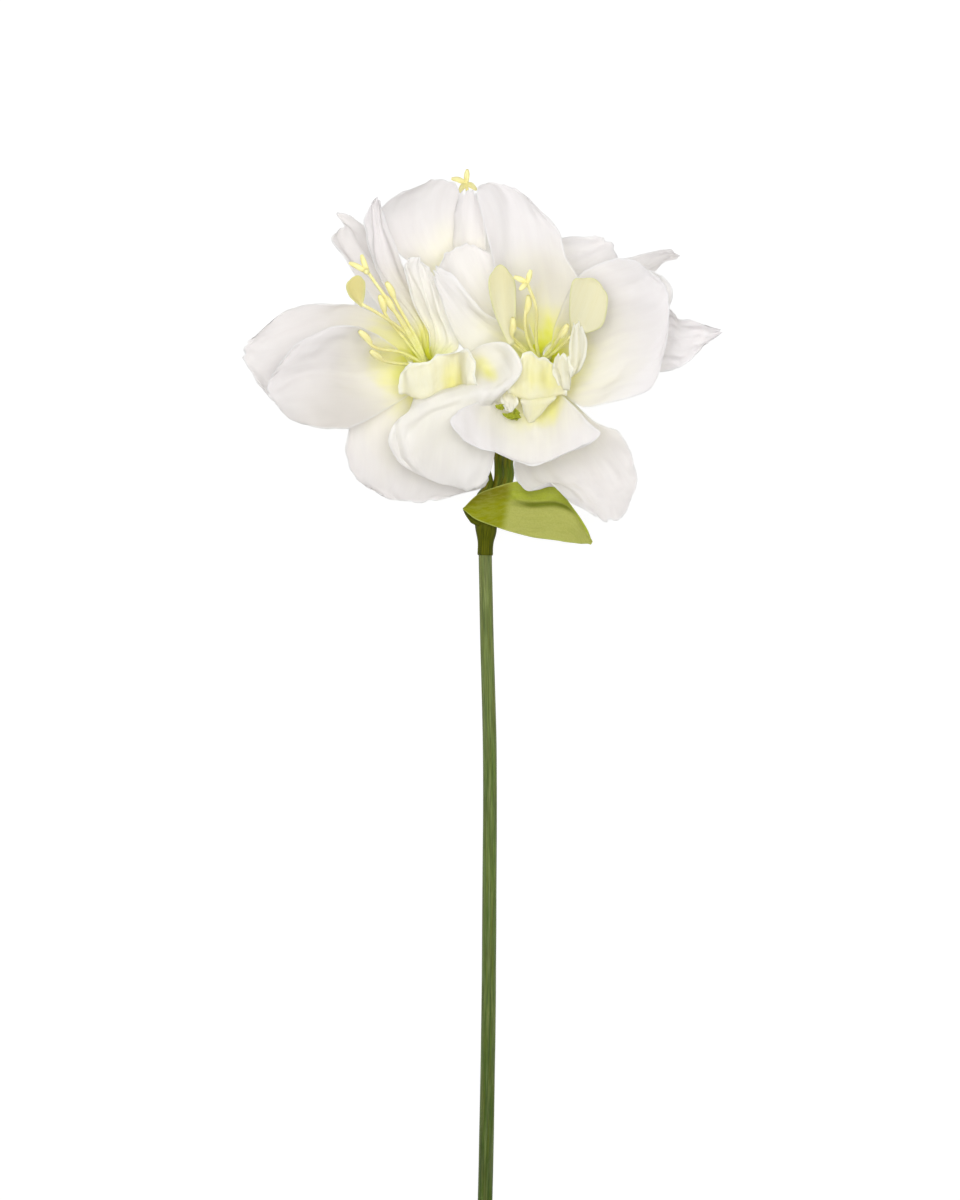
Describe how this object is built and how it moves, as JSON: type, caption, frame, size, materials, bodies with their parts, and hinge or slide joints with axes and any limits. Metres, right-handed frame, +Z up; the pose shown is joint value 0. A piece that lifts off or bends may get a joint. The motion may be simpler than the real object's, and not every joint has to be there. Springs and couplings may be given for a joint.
{
  "type": "artificial amaryllis stem",
  "caption": "Artificial amaryllis on one stem: double white blooms with stamens on short stalks above a collar and a bract, lying down as a cut stem does.",
  "frame": {"origin": "middle of the bounding box's footprint, on the surface that the flower lies on", "axes": "+Z up from the surface, +Y along the stem from its cut end to the head, +X to the right of the flower's face as the camera looks down on it"},
  "size_m": [0.2148, 0.4998, 0.1049],
  "materials": {
    "petal": "matte white fabric, cream to yellow-green in the throat",
    "stamen": "satin pale yellow",
    "stem": "satin green with fine lengthwise grooves",
    "collar": "satin olive",
    "stalk": "satin olive",
    "bract": "matte yellow-green fabric with a pale crease"
  },
  "bodies": {
    "root": {"stem": "stem", "collar": "collar", "bract": "bract", "stalk_left": "stalk", "bloom_left": "petal", "stamens_left": "stamen", "stalk_right": "stalk", "bloom_right": "petal", "stamens_right": "stamen", "stalk_back": "stalk", "bloom_back": "petal", "stamens_back": "stamen"}
  },
  "joints": []
}
